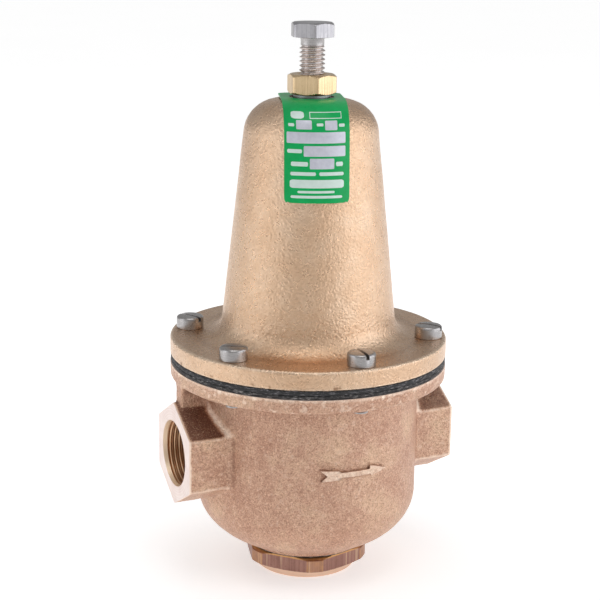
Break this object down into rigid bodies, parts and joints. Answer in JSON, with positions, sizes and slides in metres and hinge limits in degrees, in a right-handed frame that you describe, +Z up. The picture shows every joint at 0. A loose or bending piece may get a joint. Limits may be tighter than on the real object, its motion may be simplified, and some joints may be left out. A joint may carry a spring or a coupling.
{
  "type": "water pressure regulator",
  "caption": "Cast-bronze diaphragm water pressure regulator with a bell-shaped spring cage, adjusting screw with lock nut, hex threaded side ports and a bottom plug.",
  "frame": {"origin": "on the vertical axis, at the underside of the bottom plug's round boss, which is the object's lowest face", "axes": "+Z up along the adjusting screw; +X from the inlet port towards the outlet port; -Y is the side with the flow arrow"},
  "size_m": [0.11, 0.106, 0.2112],
  "materials": {
    "body_bronze": "as-cast",
    "cage_bronze": "as-cast",
    "plug_bronze": "machined",
    "nut_brass": "machined",
    "stem_brass": "machined",
    "stainless": "machined",
    "washer_steel": "dull",
    "spring_steel": "oiled",
    "plate_steel": "plated",
    "black_rubber": "matte",
    "gasket_fibre": "matte",
    "tag_green": "satin"
  },
  "bodies": {
    "housing": {"valve_body": "body_bronze", "spring_cage": "cage_bronze", "flange_screws": "stainless", "diaphragm": "black_rubber", "diaphragm_gasket": "gasket_fibre", "valve_seat": "stainless", "seat_gasket": "gasket_fibre", "bottom_plug": "plug_bronze", "plug_gasket": "gasket_fibre", "range_spring": "spring_steel"},
    "stem": {"stem": "stem_brass", "upper_plate": "plate_steel", "lower_plate": "plate_steel", "plate_washer": "plate_steel", "diaphragm_nut": "stem_brass", "disc_holder": "stem_brass", "seat_disc": "black_rubber", "disc_washer": "stem_brass", "disc_nut": "stem_brass"},
    "spring_button": {"spring_button": "plate_steel"},
    "adjusting_screw": {"adjusting_screw": "stainless"},
    "lock_washer": {"lock_washer": "washer_steel"},
    "lock_nut": {"lock_nut": "nut_brass"},
    "name_tag": {"name_tag": "tag_green"}
  },
  "joints": [
    {"name": "stem_slide", "type": "slide", "parent": "housing", "child": "stem", "axis": [0, 0, 1], "range_m": [0, 0.003], "stiffness_N_per_m": 5000, "springref_m": -0.004, "deforming": ["diaphragm"]},
    {"name": "button_slide", "type": "slide", "parent": "housing", "child": "spring_button", "axis": [0, 0, 1], "range_m": [-0.01111, 0.00953], "deforming": ["range_spring"]},
    {"name": "screw_turn", "type": "hinge", "parent": "spring_button", "child": "adjusting_screw", "pos_m": [0, 0, 0.18], "axis": [0, 0, 1], "range_deg": [-2520, 2160]},
    {"name": "nut_lift", "type": "slide", "parent": "housing", "child": "lock_washer", "axis": [0, 0, 1], "range_m": [0, 0.00159]},
    {"name": "nut_turn", "type": "hinge", "parent": "lock_washer", "child": "lock_nut", "pos_m": [0, 0, 0.1888], "axis": [0, 0, 1], "range_deg": [0, 360]},
    {"name": "tag_swivel", "type": "hinge", "parent": "housing", "child": "name_tag", "pos_m": [0, 0, 0.1838], "axis": [0, 0, 1], "continuous": true}
  ],
  "couplings": [
    {"joint": "screw_turn", "follows": "button_slide", "rad_per_m": 3957.9},
    {"joint": "nut_turn", "follows": "nut_lift", "rad_per_m": 3957.9}
  ]
}
